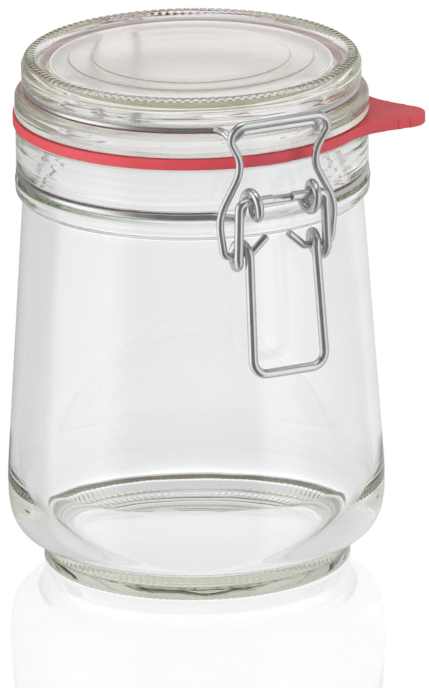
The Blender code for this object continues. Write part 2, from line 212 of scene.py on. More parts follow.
def turned(name, profile, columns, ribs):
    """A part turned about the jar's axis from a profile of (radius, height), pole to pole.

    Point (i, j) is (r_i sin a_j, -r_i cos a_j, z_i). ribs(angle, radius, height) gives a depth
    for each grid point, which moves it against the profile's normal, into the glass. The
    profile runs so that the area it encloses, half the sum of r_i z_k - r_k z_i over its
    steps i to k, is positive, and then the faces look outwards."""
    profile = np.asarray(profile, float)
    radius, height = profile.T
    if (radius * np.roll(height, -1) - np.roll(radius, -1) * height).sum() < 0:
        profile = profile[::-1]
    angle = np.linspace(0, 2 * np.pi, columns, endpoint=False)
    inner = profile[1:-1]
    slope = profile[2:] - profile[:-2]
    normal = units(np.stack([slope[:, 1], -slope[:, 0]], -1))
    depth = ribs(angle[None, :], inner[:, :1], inner[:, 1:])
    radius = inner[:, :1] - normal[:, :1] * depth
    height = inner[:, 1:] - normal[:, 1:] * depth
    grid = np.stack([radius * np.sin(angle), -radius * np.cos(angle), height], -1)
    rows = len(inner)
    poles = np.array([[0, 0, profile[0, 1]], [0, 0, profile[-1, 1]]])
    points = np.vstack([grid.reshape(-1, 3), poles]) * MM + AXIS
    ring = np.arange(columns)
    start, end = rows * columns, rows * columns + 1
    first = np.stack([np.full(columns, start), np.roll(ring, -1), ring], -1)
    tail = ring + (rows - 1) * columns
    last = np.stack([np.full(columns, end), tail, np.roll(tail, -1)], -1)
    faces = grid_quads(rows, columns).tolist() + first.tolist() + last.tolist()
    return put_mesh(name, points.tolist(), faces)


print("a row (3, 4) over its own length is", units(np.array([[3.0, 4.0]]))[0].tolist())

# %% [markdown]
# ## The glass body
# The body is pressed soda-lime glass with a thick wall. From below: a hollow base on a
# standing ring, a narrow band of ribs that takes the scuffs of handling, a round heel, a wall
# that narrows upwards, a bead, the groove for the neck wire and the thick mouth. The inside
# follows with a wall that grows thicker towards the shoulder, as the glass settles there. All
# lengths are in millimetres until the mesh is made.

# %% Body outline
BASE_RING, BODY_WIDEST, SHOULDER, BEAD, MOUTH, MOUTH_TOP = 47.1, 57.85, 52.15, 54.2, 53.8, 138.6
LEDGE = 1.5                        # the heel's curve starts this far outside the standing ring
NECK_RING, NECK_Z = 52.6, 123.8    # the neck wire's ring lies here, in its groove


def heel_curve(core, edge, low, top, power, count):
    """A quarter superellipse: r = core + (edge-core) cos(a)^(2/p), z = top - (top-low) sin(a)^(2/p)."""
    a = np.linspace(np.pi / 2, 0, count)
    return np.stack([
        core + (edge - core) * np.cos(a).clip(0) ** (2 / power),
        top - (top - low) * np.sin(a).clip(0) ** (2 / power),
    ], -1)


heel = heel_curve(core=44.0, edge=BODY_WIDEST, low=8.2, top=26.0, power=3.0, count=24)
heel = heel[heel[:, 0] > BASE_RING + LEDGE]
foot = bent([
    (0, 1.8, 0), (20, 1.5, 30), (35.0, 0.5, 12), (41.0, 0, 4.0), (BASE_RING, 0, 1.0),
    (BASE_RING, 3.8, 0.35), (46.6, 4.3, 0.35), (47.1, 5.0, 0.4), (47.8, 7.9, 0.4),
    (*heel[0], 0),
])
wall = bent([
    (*heel[-1], 0), (BODY_WIDEST, 28.7, 40), (SHOULDER, 113.2, 9), (SHOULDER, 116.4, 1.4),
    (BEAD - 0.15, 117.7, 1.6), (BEAD, 121.7, 0.5), (51.3, 122.1, 0),
], math.radians(12))
groove = arc((NECK_RING, NECK_Z), 1.75, 250, 112, 8)
neck = bent([
    (*groove[-1], 0), (MOUTH, 125.7, 0.5), (MOUTH, MOUTH_TOP, 0.9),
    (47.5, MOUTH_TOP, 1.1), (47.5, 121.0, 3), (47.7, 112.0, 40), (54.5, 33.5, 20),
])
inside_heel = heel_curve(core=37.0, edge=54.6, low=6.6, top=31.0, power=2.1, count=22)[::-1]
body_outline = filled(np.vstack([
    foot[:-1], heel, wall[1:-1], groove, neck[1:-1], inside_heel, [(12, 6.9), (0, 7.0)],
]), longest=12.0)
print("body outline has", len(body_outline), "points, widest", body_outline[:, 0].max(), "mm")

# %% Body mesh with its ribs
BODY_RIBS, COLUMNS_A_RIB = 130, 5
BAND_DEPTH, SOLE_DEPTH = 0.18, 0.16


def ridge(angle, count):
    """Half-round ridges sqrt(1 - u^2), with u from -1 to 1 across each of count ridges."""
    u = (count * angle / np.pi) % 2 - 1
    return np.sqrt((1 - u ** 2).clip(0))


def between(value, low, high, fade):
    """1 where value is from low to high, falling to 0 over the fade distance outside."""
    return np.clip((value - low) / fade + 1, 0, 1) * np.clip((high - value) / fade + 1, 0, 1)


def body_ribs(angle, radius, height):
    """Depth of the gaps between ribs, on the band over the standing ring and under the ring."""
    band = between(height, 5.0, 8.2, 0.4) * between(radius, 46.8, 49.0, 0.6)
    sole = between(radius, 44.2, 46.6, 0.4) * (height < 0.3)
    return (BAND_DEPTH * band + SOLE_DEPTH * sole) * (1 - ridge(angle, BODY_RIBS))


body = turned("jar_glass_body", body_outline, BODY_RIBS * COLUMNS_A_RIB, body_ribs)
print("glass in the body:", round(volume_of(body) / CM3, 1), "cm3")

# %% [markdown]
# ## The glass lid
# The lid is pressed too. Its top has a raised rim with two shallow steps inside it. A row of
# small beads runs round the crest of the rim and gives a wet hand some grip. Below the rim
# runs the groove for the lid wire, then a flange that presses on the rubber ring, and a short
# plug that centres the lid in the mouth. The beads are real relief rather than a bump map,
# because they show against the light along the lid's outline.

# %% Lid outline and mesh
LID_BEADS, COLUMNS_A_BEAD, BEAD_DEPTH = 124, 6, 0.50
LID_RING, LID_Z = 50.2, 150.4      # the lid wire's ring lies here, in its groove

lid_top = bent([
    (0, 159.4, 0), (29.9, 159.4, 0.5), (30.4, 159.15, 0.5), (37.1, 159.1, 0.5),
    (37.6, 158.85, 0.5), (45.3, 158.6, 0.8), (47.6, 159.75, 0.5), (48.3, 159.95, 0.3),
    (48.8, 160.0, 0), (49.4, 160.0, 0), (50.0, 159.95, 0.3), (50.6, 159.6, 0.3),
    (51.0, 159.1, 0.3), (51.8, 157.2, 1.2), (51.8, 152.4, 0.5), (50.6, 151.95, 0),
])
lid_groove = arc((LID_RING, LID_Z), 1.6, 75, 285, 9)
lid_under = bent([
    (50.6, 148.8, 0), (52.2, 148.6, 0.5), (53.9, 148.2, 0.9), (54.1, 142.5, 0.6),
    (44.6, 142.5, 0.4), (44.6, 136.8, 0.5), (42.0, 136.8, 0.7), (42.9, 150.0, 5),
    (43.3, 154.6, 1.2), (36.0, 154.8, 4.0), (20, 154.9, 20), (0, 154.9, 0),
])
lid_outline = filled(np.vstack([lid_top[:-1], lid_groove, lid_under[1:]]), longest=6.0)


def lid_beads(angle, radius, height):
    """Depth of the gaps between the half-round beads on the crest of the rim."""
    crest = between(radius, 48.1, 50.4, 0.5) * between(height, 159.2, 160.2, 0.4)
    return BEAD_DEPTH * crest * (1 - ridge(angle, LID_BEADS))


lid = turned("lid_glass", lid_outline, LID_BEADS * COLUMNS_A_BEAD, lid_beads)
print("glass in the lid:", round(volume_of(lid) / CM3, 1), "cm3")

# %% [markdown]
# ## The rubber ring with its pull tab
# The seal is cut or moulded from natural rubber, 3.3 mm thick, with a tab to break the vacuum.
# Its outline leaves the ring along a curve, closes in towards the tip, and has two shallow
# notches a side for grip. The section is a rectangle with soft edges, carried round that
# outline from the outside to the bore.

# %% Rubber outline
RUBBER, RUBBER_BORE, RUBBER_LOW, RUBBER_HIGH = 54.6, 47.0, 138.9, 142.2
TAB_TURN, TAB_REACH, TIP_RADIUS = math.radians(-31), 71.18, 7.0
TAPER, ROOT_ANGLE, ROOT_END = math.radians(31), math.radians(24), 59.0
NOTCHES, NOTCH_DEPTH, NOTCH_FADE = [(59.9, 63.6), (65.0, 67.0)], 0.28, 0.12


def tab_half():
    """Half of the tab, (along, aside): a quadratic curve off the ring, a straight side, a tip arc.

    The curve is root (1-t)^2 + 2 corner t(1-t) + elbow t^2, where the corner is the crossing
    of the ring's tangent at the root with the tab's side."""
    cosine, sine = math.cos(ROOT_ANGLE), math.sin(ROOT_ANGLE)
    root = RUBBER * np.array([cosine, sine])
    tip = arc((TAB_REACH - TIP_RADIUS, 0), TIP_RADIUS, 90 - math.degrees(TAPER), 0, 16)
    slope = math.tan(TAPER)
    elbow = np.array([ROOT_END, tip[0, 1] + slope * (tip[0, 0] - ROOT_END)])
    across = (elbow[1] - root[1] + slope * (elbow[0] - root[0])) / (slope * sine - cosine)
    corner = root + across * np.array([sine, -cosine])
    t = np.linspace(0, 1, 20)[1:, None]
    curve = root * (1 - t) ** 2 + 2 * corner * t * (1 - t) + elbow * t ** 2
    side = elbow + (tip[0] - elbow) * np.linspace(0, 1, 34)[1:-1, None]
    return np.vstack([curve, side, tip])


half = tab_half()
for start, end in NOTCHES:
    half[:, 1] -= NOTCH_DEPTH * between(half[:, 0], start, end, NOTCH_FADE)
ring_angle = np.linspace(ROOT_ANGLE, 2 * np.pi - ROOT_ANGLE, 240)
rubber_plan = np.vstack([
    RUBBER * np.stack([np.cos(ring_angle), np.sin(ring_angle)], -1),
    half * [1, -1], half[-2::-1],
])
print("rubber outline has", len(rubber_plan), "points")

# %% Rubber section
SOFT_EDGE = 0.35


def rubber_section():
    """Rows (near, far, share, height) once round a rectangle whose corners have soft edges.

    Where the rubber is W wide, such a point lies near + (W - near - far) share deep."""
    edge = arc((SOFT_EDGE, 0), SOFT_EDGE, 180, 90, 5) - [0, SOFT_EDGE]
    rows = [(0, 0, 0, RUBBER_LOW + SOFT_EDGE)]
    rows += [(w, 0, 0, RUBBER_HIGH + z) for w, z in edge]
    rows += [(SOFT_EDGE, SOFT_EDGE, share, RUBBER_HIGH) for share in np.linspace(0, 1, 7)[1:-1]]
    rows += [(0, w, 1, RUBBER_HIGH + z) for w, z in edge[::-1]]
    rows += [(0, 0, 1, RUBBER_LOW + SOFT_EDGE)]
    rows += [(0, w, 1, RUBBER_LOW - z) for w, z in edge[1:]]
    rows += [(w, 0, 0, RUBBER_LOW - z) for w, z in edge[:0:-1]]
    return np.array(rows)


print("rubber section has", len(rubber_section()), "points")

# %% Rubber mesh
def make_rubber():
    """The section carried round the outline.

    Each outline point P has a bore point B on the same ray from the axis. A section point with
    depth w and height z sits at P + (B - P) w / |B - P|, and the depth runs 0 to |B - P|."""
    bore = rubber_plan * (RUBBER_BORE / np.linalg.norm(rubber_plan, axis=1, keepdims=True))
    width = np.linalg.norm(bore - rubber_plan, axis=1)
    inward = (bore - rubber_plan) / width[:, None]
    near, far, share, height = rubber_section().T[:, :, None]
    depth = near + (width - near - far) * share
    plan = rubber_plan[None] + inward[None] * depth[..., None]
    cosine, sine = math.cos(TAB_TURN), math.sin(TAB_TURN)
    x = plan[..., 0] * cosine - plan[..., 1] * sine
    y = plan[..., 0] * sine + plan[..., 1] * cosine
    grid = np.stack([x, y, np.repeat(height, x.shape[1], 1)], -1)
    points = grid.reshape(-1, 3) * MM + AXIS
    faces = grid_quads(*x.shape, wrap_rows=True)
    return put_mesh("rubber_ring", points.tolist(), faces.tolist())


rubber = make_rubber()
print("rubber:", round(volume_of(rubber) / CM3, 1), "cm3")

# %% [markdown]
# ## Bent wire
# The clamp is cold-drawn steel wire, galvanised and bent on a former, so each wire is a plain
# round section along a line of straight runs, bends and coils. A Blender curve with a bevel
# would draw it, but a mesh made here can carry its own measure of the way along and round the
# wire, which the drawn finish follows later. The cut ends keep a small broken edge. First
# come the directions across the wire, which must not twist from one point to the next.

# %% Directions along a path
def frames(path, closed):
    """Unit tangent and two cross directions at each point of a path.

    The first cross direction is carried on: at each point it loses its part along the new
    tangent and is made unit again. On a closed path the leftover twist is spread evenly."""
    ahead = np.roll(path, -1, 0) - path
    behind = path - np.roll(path, 1, 0)
    if not closed:
        ahead[-1], behind[0] = behind[-1], ahead[0]
    tangent = units(units(ahead) + units(behind))
    aside = np.zeros_like(path)
    start = np.eye(3)[np.argmin(np.abs(tangent[0]))]
    for index, along in enumerate(tangent):
        start = unit(start - along * (start @ along))
        aside[index] = start
    up = np.cross(tangent, aside)
    if closed:
        last = unit(aside[-1] - tangent[0] * (aside[-1] @ tangent[0]))
        twist = math.atan2(last @ up[0], last @ aside[0])
        turn = -twist * np.arange(len(path))[:, None] / len(path)
        cosine, sine = np.cos(turn), np.sin(turn)
        aside, up = aside * cosine + up * sine, up * cosine - aside * sine
    return tangent, aside, up


straight = np.array([[0.0, 0.0, 0.0], [1.0, 0.0, 0.0], [2.0, 0.0, 0.0]])
print("the tangent of a run along X is", frames(straight, closed=False)[0][1].tolist())

# %% Wire mesh
def make_wire(name, path, radius, closed=False, sides=22, edge=0.25):
    """A circle of the wire's radius carried along the path, point = P + r (cos a U + sin a V).

    At a cut end the radius falls by edge over a length of edge. The mesh keeps a vector for
    each point, (r cos a, r sin a, length along the wire) in metres, which a pattern can follow
    without a seam."""
    path = np.asarray(path, float)
    if not closed:
        head, tail = unit(path[1] - path[0]), unit(path[-2] - path[-1])
        path = np.vstack([path[:1], path[:1] + head * edge, path[1:-1], path[-1:] + tail * edge, path[-1:]])
    size = np.full(len(path), radius)
    if not closed:
        size[[0, -1]] = radius - edge
    _, aside, up = frames(path, closed)
    angle = np.linspace(0, 2 * np.pi, sides, endpoint=False)
    cosine, sine = np.cos(angle)[None, :, None], np.sin(angle)[None, :, None]
    grid = path[:, None] + size[:, None, None] * (aside[:, None] * cosine + up[:, None] * sine)
    faces = grid_quads(len(path), sides, wrap_rows=closed)[:, ::-1].tolist()
    if not closed:
        ring = list(range(sides))
        faces += [ring, [number + (len(path) - 1) * sides for number in ring][::-1]]
    made = put_mesh(name, (grid.reshape(-1, 3) * MM + AXIS).tolist(), faces, sharp=35)
    if volume_of(made) < 0:
        made.data.flip_normals()
    run = np.concatenate([[0], np.linalg.norm(np.diff(path, axis=0), axis=1).cumsum()])
    place = np.stack([
        np.broadcast_to(radius * cosine[..., 0], grid.shape[:2]),
        np.broadcast_to(radius * sine[..., 0], grid.shape[:2]),
        np.repeat(run[:, None], sides, 1),
    ], -1)
    layer = made.data.attributes.new("wire_place", "FLOAT_VECTOR", "POINT")
    layer.data.foreach_set("vector", (place * MM).astype(np.float32).ravel())
    print(name, round(float(run[-1])), "mm of wire")
    return made


FINE = math.radians(10)
print("a wire's right angle has", len(bent([(0, 0, 0), (5, 0, 2), (5, 5, 0)], FINE)), "points")

# %% [markdown]
# ## Corners and coils of wire
# The clamp is on the -Y side of the jar and the hinge on the +Y side. A wire's corners are
# told by how far out they are from the jar's axis, on one side or the other. Rings about the
# jar and coils about an axis along X are worked out in steps of angle.

# %% Corners and coils
def front(x, out, z, bend=0.0):
    """A corner of a wire on the clamp's side; out is the distance from the jar's axis."""
    return (x, -out, z, bend)


def back(x, out, z, bend=0.0):
    """A corner of a wire on the hinge's side."""
    return (x, out, z, bend)


def around(radius, height, start, end, step=2.0):
    """Points round the jar's axis, angles in degrees from the clamp towards +X."""
    a = np.radians(np.linspace(start, end, max(2, int(abs(end - start) / step) + 1)))
    return np.stack([radius * np.sin(a), -radius * np.cos(a), np.full_like(a, height)], -1)


def coiled(side, out, z, radius, start, end, x_start, x_end, step=10.0):
    """A turn of wire about an axis along X: angle and x grow together from start to end."""
    a = np.radians(np.linspace(start, end, max(2, int(abs(end - start) / step) + 1)))
    x = np.linspace(x_start, x_end, len(a))
    return np.stack([x, side * (out + radius * np.cos(a)), z + radius * np.sin(a)], -1)


def both_sides(half_path):
    """A whole path from the half that starts in the middle plane."""
    return np.vstack([half_path[:0:-1] * [-1, 1, 1], half_path])


print("a full coil in steps of 10 degrees has", len(coiled(1, 0, 0, 1, 0, 360, 0, 1)), "points")

# %% [markdown]
# ## The clamp's four wires
# The neck wire lies in the groove under the mouth. In front it makes two eyes that hold the
# lever, and behind a bar for the hinge. The lid wire sits in the lid's groove, curls round
# that bar, and ends in a nose in front. The lever is a U whose legs each make a coil, and its
# two stubs turn in the eyes. The bail turns in the coils and hooks over the nose. Both halves
# of every wire are the same, so one half is written and mirrored.

# %% Neck wire
NECK_WIRE, LID_WIRE, LEVER_WIRE, BAIL_WIRE = 1.3, 1.2, 1.45, 1.2      # each wire's radius
HINGE_OUT, HINGE_Z, PIVOT_OUT, PIVOT_Z = 60.2, 127.0, 61.0, 130.2
EYE_Z, EYE_RADIUS = PIVOT_Z - 1.0, 4.1
EYE_BACK = PIVOT_OUT - EYE_RADIUS
BAR_Z = EYE_Z - 0.6

eye = coiled(-1, PIVOT_OUT, EYE_Z, EYE_RADIUS, 225, 540, 8.5, 11.1)
bar = bent([front(0, EYE_BACK, BAR_Z), front(8.1, EYE_BACK, BAR_Z, 1.0), (*eye[0], 0)], FINE)
neck_ring = around(NECK_RING, NECK_Z, 20, 163)
leave = bent([(*eye[-1], 0), front(11.5, EYE_BACK - 0.6, NECK_Z, 2.4), (*neck_ring[0], 0)], FINE)
hinge_bar = bent([
    (*neck_ring[-1], 0), back(13.6, 53.5, NECK_Z, 3.0), back(12.4, HINGE_OUT, HINGE_Z, 2.4),
    back(0, HINGE_OUT, HINGE_Z),
], FINE)
half_neck = np.vstack([bar[:-1], eye, leave[1:-1], neck_ring, hinge_bar[1:]])
neck_wire = make_wire("neck_steel_wire", both_sides(half_neck)[1:], NECK_WIRE, closed=True)

# %% Lid wire
CURL, CURL_X = 2.95, 7.5

nose = bent([
    front(0, 58.0, 151.6), front(11.9, 58.0, 151.6, 1.6), front(14.2, 56.4, 149.0, 1.4),
    front(15.0, 53.0, LID_Z, 1.4), front(15.6, 48.2, LID_Z, 2.0),
    (*around(LID_RING, LID_Z, 23, 25)[0], 0),
], FINE)
lid_ring = around(LID_RING, LID_Z, 23, 165)
riser = bent([
    (*lid_ring[-1], 0), back(8.3, 50.0, LID_Z, 1.8), back(CURL_X, HINGE_OUT - CURL, LID_Z, 3.0),
    back(CURL_X, HINGE_OUT - CURL, HINGE_Z),
], FINE)
curl = coiled(1, HINGE_OUT, HINGE_Z, CURL, 180, 450, CURL_X, CURL_X)
half_lid = np.vstack([nose[:-1], lid_ring, riser[1:-1], curl])
lid_wire = make_wire("lid_steel_wire", both_sides(half_lid), LID_WIRE)

# %% Lever and bail
COIL_OUT, COIL_Z, COIL, LEG_X, LINK_X = 57.5, 113.1, 3.6, 11.2, 14.9
GRIP_OUT, GRIP_Z, HOOK_OUT, HOOK_Z = 64.87, 76.9, 60.15, 154.3

leg = bent([
    front(0, GRIP_OUT, GRIP_Z), front(12.1, GRIP_OUT, GRIP_Z, 4.5),
    front(LEG_X, COIL_OUT + COIL, COIL_Z),
], FINE)
coil = coiled(-1, COIL_OUT, COIL_Z, COIL, 0, 360, LEG_X, LINK_X)
link = bent([
    (*coil[-1], 0), front(LINK_X - 0.6, PIVOT_OUT, PIVOT_Z, 2.2), front(3.1, PIVOT_OUT, PIVOT_Z),
], FINE)
half_lever = np.vstack([leg[:-1], coil, link[1:]])
lever = make_wire("lever_steel_wire", both_sides(half_lever), LEVER_WIRE)

half_bail = bent([
    front(0, HOOK_OUT, HOOK_Z), front(13.8, HOOK_OUT, HOOK_Z, 4.4), front(17.1, 59.55, 150.7, 4.0),
    front(11.2, COIL_OUT + 0.5, 140.8, 10.0), front(19.6, COIL_OUT - 0.3, 125.5, 14.0),
    front(17.9, COIL_OUT, COIL_Z, 2.0), front(8.8, COIL_OUT, COIL_Z, 1.6),
    front(3.6, COIL_OUT, COIL_Z + 4.7),
], FINE)
bail = make_wire("bail_steel_wire", both_sides(half_bail), BAIL_WIRE)

# %% [markdown]
# ## Colours and nodes
# Colours are written as the sRGB hex values a paint chart or a screen gives. Blender's shaders
# work in linear light, so one function turns them. One more adds a node with its settings
# and links, so that a material reads as a short list.

# %% Colour and node helpers
def linear(hex_colour):
    """Linear red, green, blue and alpha of an sRGB hex colour.

    A channel c from 0 to 1 becomes c / 12.92 up to 0.04045 and ((c + 0.055) / 1.055)^2.4 above."""
    c = np.array([int(hex_colour[i:i + 2], 16) for i in (1, 3, 5)]) / 255
    c = np.where(c <= 0.04045, c / 12.92, ((c + 0.055) / 1.055) ** 2.4)
    return (*c.tolist(), 1.0)


def add(tree, kind, inputs=None, **settings):
    """A new node. A socket among the inputs is linked, and any other value is set."""
    made = tree.nodes.new(kind)
    for name, value in settings.items():
        setattr(made, name, value)
    for name, value in (inputs or {}).items():
        if isinstance(value, bpy.types.NodeSocket):
            tree.links.new(value, made.inputs[name])
        else:
            made.inputs[name].default_value = value
    return made


def principled(name, inputs):
    """A material with its Principled shader's sockets set, and its node tree."""
    material = bpy.data.materials.new(name)
    material.use_nodes = True
    shader = material.node_tree.nodes["Principled BSDF"]
    for socket, value in inputs.items():
        shader.inputs[socket].default_value = value
    return material, material.node_tree, shader


print("mid grey #808080 is", round(linear("#808080")[0], 3), "in linear light")

# %% [markdown]
# ## Soda-lime glass
# Jars are soda-lime glass, index 1.52, pressed in a steel mould. It is clear across a wall and
# green along a thick edge, because a little iron in the sand soaks up red and blue. Tinting
# the surface alone would colour thin and thick glass alike, so most of the tint goes into the
# volume, where it grows with the way light travels. The mould leaves shallow waves a
# centimetre or two long, which bend what is seen through the wall, and the outside of the
# neck and the lid keeps flat streaks. Under the lid's disc the glass is a little hazy, and it
# is dull where the plug and the flange meet the mouth and the rubber.

# %% Glass material
WAVE_WIDE, STREAK_WIDE, SOAK_DENSITY = 22 * MM, 40 * MM, 14.0
STREAK_SQUEEZE = (0.4, 0.4, 12)    # a 16 mm pattern becomes 40 mm wide and 1.3 mm high


def lid_haze(tree, height, off_axis, haze):
    """Roughness haze on the underside of the disc, to 42 mm from the axis, and at the seat."""
    inside = add(tree, "ShaderNodeMapRange", {
        "Value": off_axis, "From Min": 41.5 * MM, "From Max": 42.5 * MM,
        "To Min": haze, "To Max": 0.0,
    }, interpolation_type="SMOOTHSTEP")
    underside = add(tree, "ShaderNodeMath", {
        0: height, 1: 155.2 * MM, 2: 1.0 * MM,
    }, operation="COMPARE")
    seat = add(tree, "ShaderNodeMapRange", {
        "Value": height, "From Min": 142.8 * MM, "From Max": 143.4 * MM,
        "To Min": haze, "To Max": 0.0,
    })
    return add(tree, "ShaderNodeMath", {
        0: inside.outputs[0], 1: underside.outputs[0], 2: seat.outputs[0],
    }, operation="MULTIPLY_ADD").outputs[0]


def soda_lime(name, wave_height, streak_height, soaked, face, haze=0.0):
    """Clear glass with waves and streaks of the given heights in metres, and haze in the lid.

    Along a way of L metres light falls to exp(-s L), where s is soaked, by colour. The volume
    node takes s as density (1 - colour). The two faces of a pane let through the share face
    between them, apart from what they mirror."""
    material, tree, shader = principled(name, {
        "Base Color": (*face, 1), "Roughness": 0.0, "IOR": 1.52,
        "Transmission Weight": 1.0,
    })
    place = add(tree, "ShaderNodeTexCoord").outputs["Object"]
    height = add(tree, "ShaderNodeSeparateXYZ", {0: place}).outputs["Z"]
    flat = add(tree, "ShaderNodeVectorMath", {0: place, 1: (1, 1, 0)}, operation="MULTIPLY")
    off_axis = add(tree, "ShaderNodeVectorMath", {
        0: flat.outputs["Vector"], 1: (AXIS[0], AXIS[1], 0),
    }, operation="DISTANCE").outputs["Value"]
    wave = add(tree, "ShaderNodeTexNoise", {
        "Vector": place, "Scale": 1 / WAVE_WIDE, "Detail": 1.0,
    })
    waves = add(tree, "ShaderNodeBump", {
        "Height": wave.outputs[0], "Distance": wave_height, "Strength": 1.0,
    })
    squeezed = add(tree, "ShaderNodeMapping", {"Vector": place, "Scale": STREAK_SQUEEZE})
    streak = add(tree, "ShaderNodeTexNoise", {
        "Vector": squeezed.outputs[0], "Scale": 1 / (STREAK_WIDE * STREAK_SQUEEZE[0]), "Detail": 1.0,
    })
    above_shoulder = add(tree, "ShaderNodeMapRange", {
        "Value": height, "From Min": 113 * MM, "From Max": 121 * MM,
    })
    outside = add(tree, "ShaderNodeMapRange", {
        "Value": off_axis, "From Min": 46 * MM, "From Max": 49 * MM,
        "To Max": above_shoulder.outputs[0],
    })
    below_crest = add(tree, "ShaderNodeMapRange", {
        "Value": height, "From Min": 157.0 * MM, "From Max": 158.5 * MM,
        "To Min": outside.outputs[0], "To Max": 0.0,
    })
    bump = add(tree, "ShaderNodeBump", {
        "Height": streak.outputs[0], "Distance": streak_height,
        "Strength": below_crest.outputs[0], "Normal": waves.outputs[0],
    })
    tree.links.new(bump.outputs[0], shader.inputs["Normal"])
    if haze:
        tree.links.new(lid_haze(tree, height, off_axis, haze), shader.inputs["Roughness"])
    soak = add(tree, "ShaderNodeVolumeAbsorption", {
        "Color": (*(1 - np.array(soaked) / SOAK_DENSITY).tolist(), 1), "Density": SOAK_DENSITY,
    })
    tree.links.new(soak.outputs[0], tree.nodes["Material Output"].inputs["Volume"])
    return material


body.data.materials.append(soda_lime(
    "pressed_body_glass", wave_height=0.22 * MM, streak_height=0.16 * MM,
    soaked=(4.6, 4.1, 5.9), face=(0.924, 0.926, 0.931),
))
lid.data.materials.append(soda_lime(
    "pressed_lid_glass", wave_height=0.12 * MM, streak_height=0.22 * MM,
    soaked=(4.4, 4.1, 7.4), face=(0.98, 0.963, 0.977), haze=0.18,
))
print("glass: waves", round(WAVE_WIDE / MM), "mm wide, streaks", round(STREAK_WIDE / MM), "mm wide")

# %% [markdown]
# ## Natural rubber
# The ring is vulcanised natural rubber, coloured in the mass with a red pigment. It is matt
# with a dull sheen at a grazing eye, because fine talc stays on it from the mould. Two scales
# show: cloudy patches of bloom a few millimetres wide, and a fine grain.

# %% Rubber material
CLOUD_WIDE, GRAIN_WIDE = 6 * MM, 0.35 * MM


def natural_rubber():
    """Matt red rubber: cloudy bloom in the colour and the gloss, and a fine grain in relief."""
    material, tree, shader = principled("natural_rubber_red", {
        "Specular IOR Level": 0.9, "IOR": 1.52,
    })
    place = add(tree, "ShaderNodeTexCoord").outputs["Object"]
    cloud = add(tree, "ShaderNodeTexNoise", {
        "Vector": place, "Scale": 1 / CLOUD_WIDE, "Detail": 4.0,
    })
    tone = add(tree, "ShaderNodeMix", {
        "Factor": cloud.outputs[0], "A": linear("#c4333c"), "B": linear("#d0414b"),
    }, data_type="RGBA")
    shade = add(tree, "ShaderNodeMapRange", {
        "Value": cloud.outputs[0], "From Min": 0.3, "From Max": 0.7, "To Min": 0.48, "To Max": 0.60,
    })
    grain = add(tree, "ShaderNodeTexNoise", {
        "Vector": place, "Scale": 1 / GRAIN_WIDE, "Detail": 2.0,
    })
    bump = add(tree, "ShaderNodeBump", {
        "Height": grain.outputs[0], "Distance": 0.04 * MM, "Strength": 0.6,
    })
    tree.links.new(tone.outputs["Result"], shader.inputs["Base Color"])
    tree.links.new(shade.outputs[0], shader.inputs["Roughness"])
    tree.links.new(bump.outputs[0], shader.inputs["Normal"])
    return material


rubber.data.materials.append(natural_rubber())
print("rubber: bloom", round(CLOUD_WIDE / MM, 2), "mm wide, grain", round(GRAIN_WIDE / MM, 2), "mm wide")

# %% [markdown]
# ## Drawn galvanised steel
# Wire is pulled through a die, which leaves fine lines along it, and then zinc plated, which
# leaves it pale grey and satin, with faint cloudy patches. The lines follow the wire through
# every bend, so the pattern reads the measure that the mesh carries: the noise is squeezed
# sixty to one along the wire. Real draw lines are finer, and these are as coarse as they have
# to be to show.

# %% Steel material
LINE_WIDE, LINE_LONG, PATCH_WIDE = 0.25 * MM, 15 * MM, 4 * MM
WIRES = (neck_wire, lid_wire, lever, bail)


def drawn_steel():
    """Satin zinc-plated wire: draw lines in relief, and patches in the colour and the gloss."""
    material, tree, shader = principled("drawn_galvanised_steel", {"Metallic": 1.0})
    place = add(tree, "ShaderNodeAttribute", attribute_name="wire_place").outputs["Vector"]
    along = add(tree, "ShaderNodeMapping", {
        "Vector": place, "Scale": (1, 1, LINE_WIDE / LINE_LONG),
    })
    lines = add(tree, "ShaderNodeTexNoise", {
        "Vector": along.outputs[0], "Scale": 1 / LINE_WIDE, "Detail": 2.0,
    })
    patch = add(tree, "ShaderNodeTexNoise", {
        "Vector": place, "Scale": 1 / PATCH_WIDE, "Detail": 3.0,
    })
    tone = add(tree, "ShaderNodeMix", {
        "Factor": patch.outputs[0], "A": linear("#cfd1d1"), "B": linear("#e2e4e3"),
    }, data_type="RGBA")
    polish = add(tree, "ShaderNodeMapRange", {
        "Value": patch.outputs[0], "From Min": 0.3, "From Max": 0.7, "To Min": 0.27, "To Max": 0.35,
    })
    bump = add(tree, "ShaderNodeBump", {
        "Height": lines.outputs[0], "Distance": 0.01 * MM, "Strength": 0.5,
    })
    tree.links.new(tone.outputs["Result"], shader.inputs["Base Color"])
    tree.links.new(polish.outputs[0], shader.inputs["Roughness"])
    tree.links.new(bump.outputs[0], shader.inputs["Normal"])
    return material


steel = drawn_steel()
for wire in WIRES:
    wire.data.materials.append(steel)
print("steel: draw lines along", len(WIRES), "wires")

# %% [markdown]
# ## Each piece on its body
# A dressed piece stands for its CAD node, which is then hidden, and rides on the body that
# node moves with. The last column names the finish of the record it stands for, which nothing
# here reads.

# %% Ride and replace
PIECES = [
    (body, "glass_jar", "jar", "glass"), (lid, "glass_lid", "lid", "lid_glass"),
    (rubber, "gasket", "lid", "rubber"), (lid_wire, "lid_wire", "lid", "steel_wire"),
    (neck_wire, "neck_wire", "jar", "steel_wire"), (lever, "lever_wire", "lever", "steel_wire"),
    (bail, "bail_wire", "bail", "steel_wire"),
]
for piece, node, moves_with, finish in PIECES:
    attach(piece, moves_with)
    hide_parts(node)
print(len(PIECES), "pieces ride on", sorted({row[2] for row in PIECES}))

